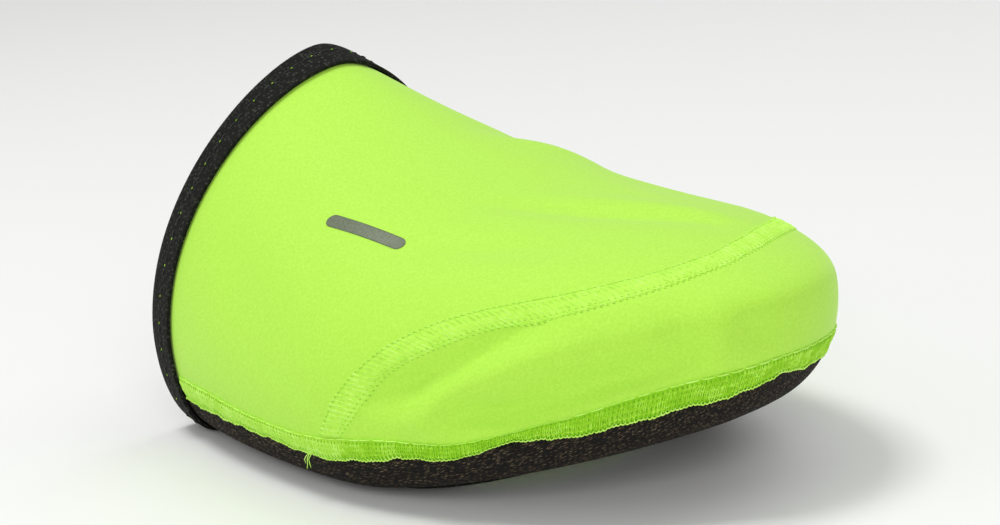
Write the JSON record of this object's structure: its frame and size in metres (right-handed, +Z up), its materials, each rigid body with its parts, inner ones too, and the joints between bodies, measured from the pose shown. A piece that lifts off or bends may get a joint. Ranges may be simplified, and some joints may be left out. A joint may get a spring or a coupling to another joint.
{
  "type": "cycling toe cover",
  "caption": "Toe cover for the right cycling shoe: softshell upper, knit sole with cleat opening, folded tape bindings and raised flatlock seams.",
  "frame": {"origin": "middle of the footprint's box, on the surface that the cover stands on", "axes": "+X to the toe, +Y to the inner side of the right foot, +Z up"},
  "size_m": [0.1406, 0.1028, 0.078],
  "materials": {
    "softshell": "high-visibility yellow-green windproof softshell, smooth matte knit face",
    "sole_knit": "coarse brown-black abrasion-resistant knit",
    "binding_tape": "black folded elastic binding tape, fine knit",
    "seam_thread": "yellow-green flatlock seam of dense polyester thread"
  },
  "bodies": {
    "root": {"upper": "softshell", "sole": "sole_knit", "collar_binding": "binding_tape", "cleat_opening_binding": "binding_tape", "toe_seam": "seam_thread", "sole_seam": "seam_thread"}
  },
  "joints": []
}
